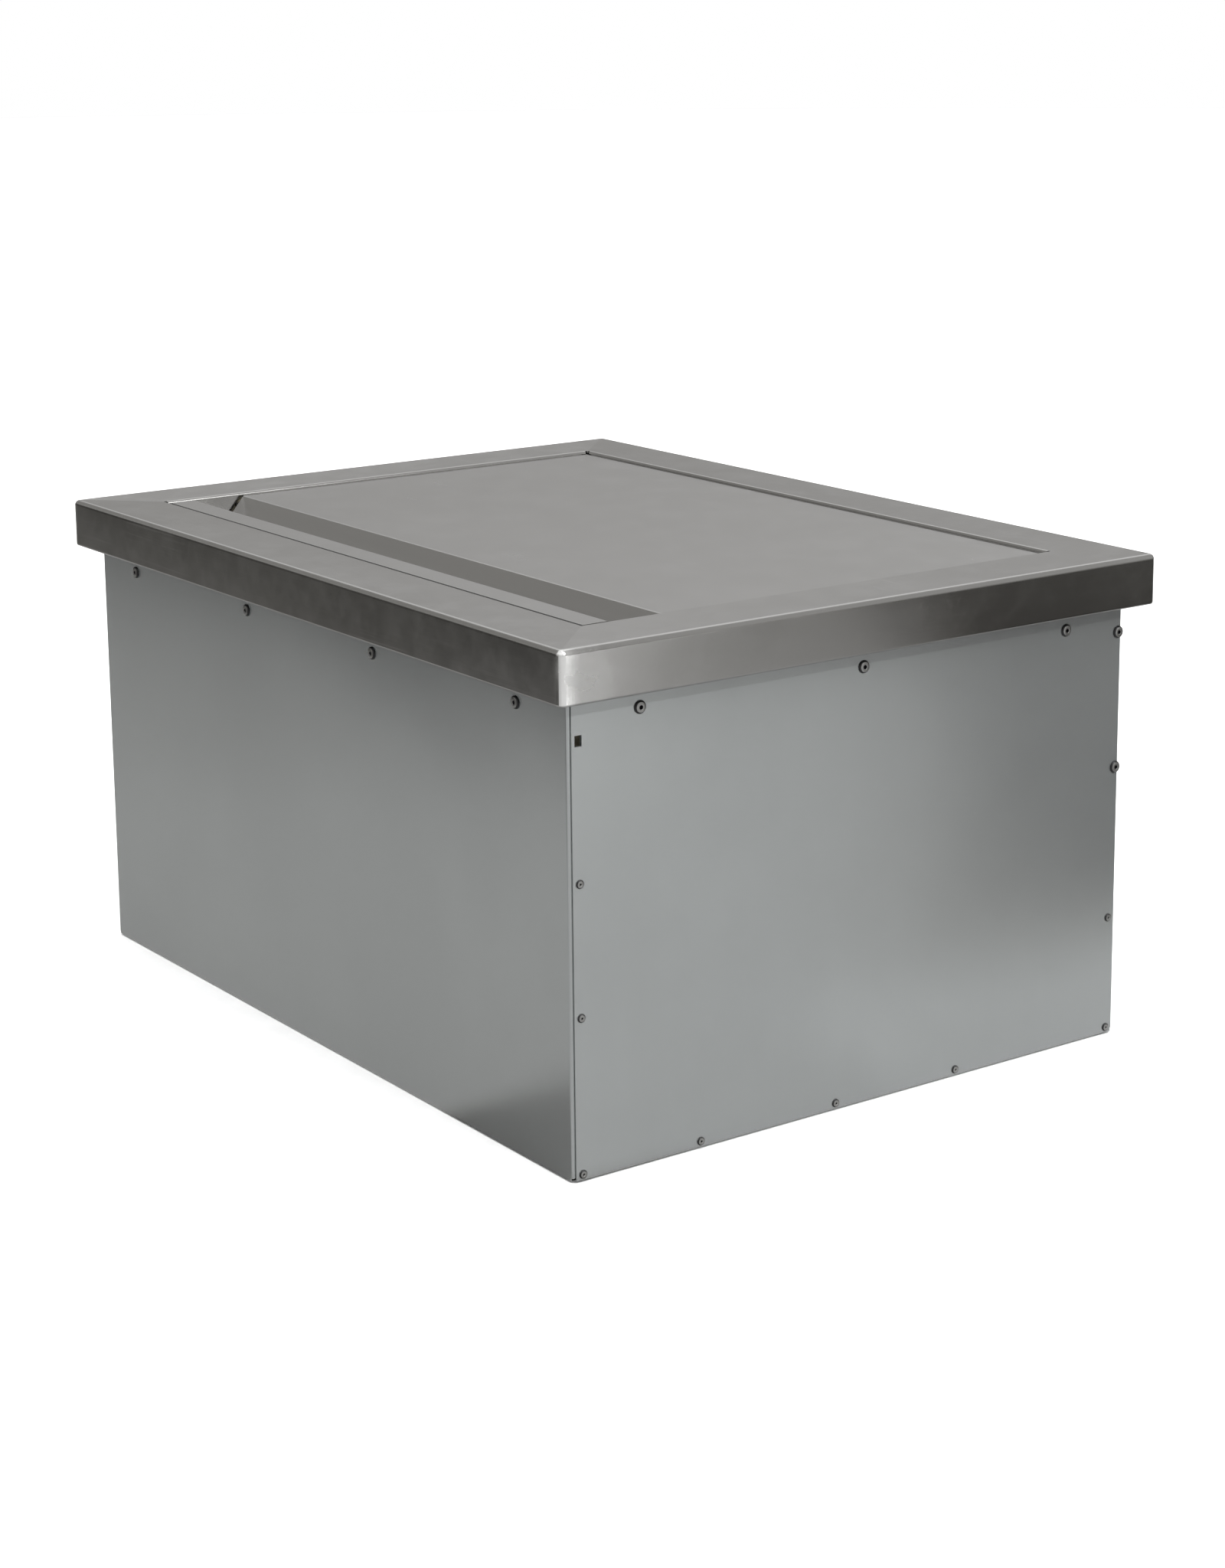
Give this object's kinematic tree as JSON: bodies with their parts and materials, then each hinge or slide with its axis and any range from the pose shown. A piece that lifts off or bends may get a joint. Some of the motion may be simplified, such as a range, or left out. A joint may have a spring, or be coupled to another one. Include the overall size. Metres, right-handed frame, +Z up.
{
  "type": "drop in ice bin",
  "caption": "Insulated drop in ice bin: folded steel rim and casing, coved liner with a floor drain and strainer, and a lift-off lid with a finger trough.",
  "frame": {"origin": "middle of the casing's bottom face", "axes": "+Z up, +Y along the long side away from the near end panel, and the lid's finger trough on the -X side"},
  "size_m": [0.4572, 0.6096, 0.319],
  "materials": {
    "brushed_steel": "brushed stainless steel",
    "liner_steel": "polished stainless steel",
    "casing_steel": "plain dull coated steel",
    "rivet_metal": "satin",
    "foam": "closed cell foam",
    "rubber": "matte",
    "washer_plastic": "matte"
  },
  "bodies": {
    "bin": {"rim_frame": "brushed_steel", "inner_liner": "liner_steel", "casing_wrapper": "casing_steel", "end_panel_near": "casing_steel", "end_panel_far": "casing_steel", "hanger_left": "casing_steel", "hanger_right": "casing_steel", "hanger_near": "casing_steel", "hanger_far": "casing_steel", "board_left": "foam", "board_right": "foam", "board_near": "foam", "board_far": "foam", "board_bottom": "foam", "drain_body": "brushed_steel", "drain_gasket": "rubber", "drain_washer": "washer_plastic", "drain_locknut": "rivet_metal", "drain_coupling": "rivet_metal", "rivet_far_edge_1": "rivet_metal", "rivet_far_edge_2": "rivet_metal", "rivet_far_edge_3": "rivet_metal", "rivet_far_edge_4": "rivet_metal", "rivet_far_edge_5": "rivet_metal", "rivet_far_edge_6": "rivet_metal", "rivet_far_edge_7": "rivet_metal", "rivet_far_edge_8": "rivet_metal", "rivet_far_edge_9": "rivet_metal", "rivet_far_edge_10": "rivet_metal", "rivet_far_edge_11": "rivet_metal", "rivet_far_top_1": "rivet_metal", "rivet_far_top_2": "rivet_metal", "rivet_far_top_3": "rivet_metal", "rivet_left_1": "rivet_metal", "rivet_left_2": "rivet_metal", "rivet_left_3": "rivet_metal", "rivet_left_4": "rivet_metal", "rivet_near_edge_1": "rivet_metal", "rivet_near_edge_2": "rivet_metal", "rivet_near_edge_3": "rivet_metal", "rivet_near_edge_4": "rivet_metal", "rivet_near_edge_5": "rivet_metal", "rivet_near_edge_6": "rivet_metal", "rivet_near_edge_7": "rivet_metal", "rivet_near_edge_8": "rivet_metal", "rivet_near_replaced_1": "rivet_metal", "rivet_near_replaced_2": "rivet_metal", "rivet_near_top_1": "rivet_metal", "rivet_near_top_2": "rivet_metal", "rivet_near_top_3": "rivet_metal", "rivet_right_1": "rivet_metal", "rivet_right_2": "rivet_metal", "rivet_right_3": "rivet_metal", "rivet_right_4": "rivet_metal"},
    "lid": {"lid_top": "brushed_steel", "lid_pan": "brushed_steel", "lid_board": "foam"},
    "strainer": {"drain_strainer": "brushed_steel"}
  },
  "joints": [
    {"name": "lid_lift", "type": "slide", "parent": "bin", "child": "lid", "axis": [0, 0, 1], "range_m": [0, 0.08]},
    {"name": "strainer_lift", "type": "slide", "parent": "bin", "child": "strainer", "axis": [0, 0, 1], "range_m": [0, 0.04]}
  ]
}
